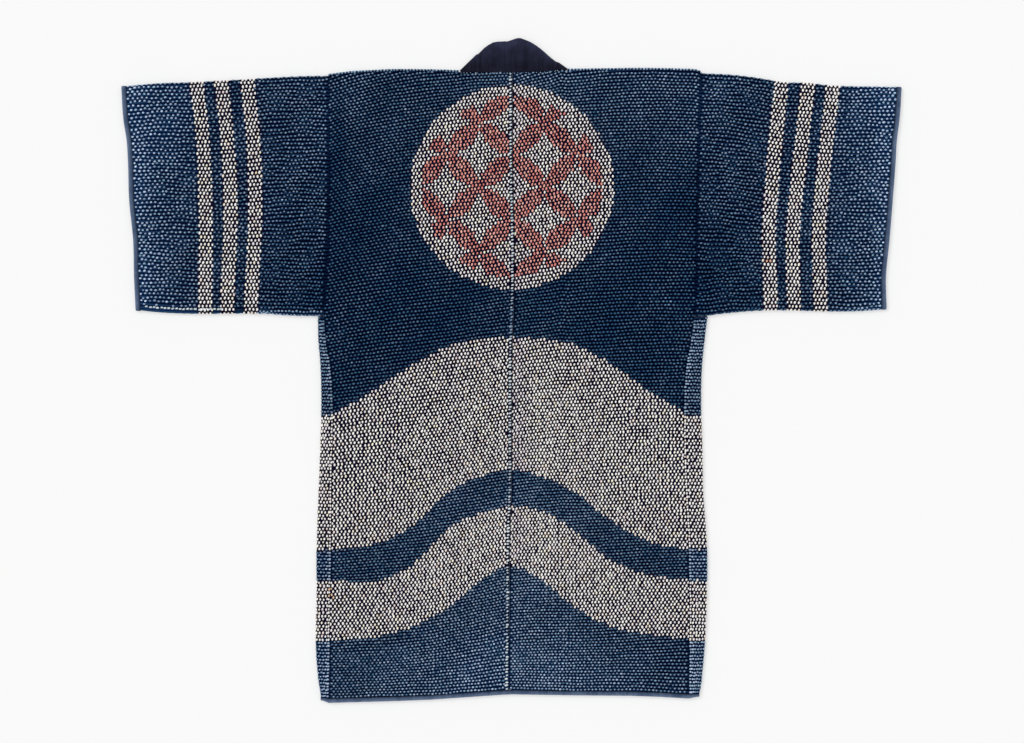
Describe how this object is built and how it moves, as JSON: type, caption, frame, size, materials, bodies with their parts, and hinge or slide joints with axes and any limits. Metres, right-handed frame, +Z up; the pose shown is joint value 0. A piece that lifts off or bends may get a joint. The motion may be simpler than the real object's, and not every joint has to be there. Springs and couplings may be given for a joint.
{
  "type": "fireman coat",
  "caption": "Quilted fireman's coat laid flat with its back up: two body lengths, open tube sleeves, side gussets, a plain dark neckband and bound hem and cuffs",
  "frame": {"origin": "on the surface the coat lies on, under the middle of its outline", "axes": "+X along the sleeves to the wearer's right, +Y along the back towards the neckband, +Z up through the layers"},
  "size_m": [1.2492, 1.0643, 0.0105],
  "materials": {
    "quilted_body": "quilted cotton, dyed indigo, with close running stitches",
    "quilted_sleeve": "quilted cotton, dyed indigo, a little faded",
    "quilted_gusset": "quilted cotton, dyed indigo",
    "plain_neckband": "plain weave cotton, very dark blue",
    "plain_binding": "plain weave cotton, slate blue"
  },
  "bodies": {
    "root": {"body_left": "quilted_body", "body_right": "quilted_body", "sleeve_left": "quilted_sleeve", "sleeve_right": "quilted_sleeve", "side_gusset_left": "quilted_gusset", "side_gusset_right": "quilted_gusset", "neckband": "plain_neckband", "hem_binding": "plain_binding", "cuff_binding_left": "plain_binding", "cuff_binding_right": "plain_binding"}
  },
  "joints": []
}
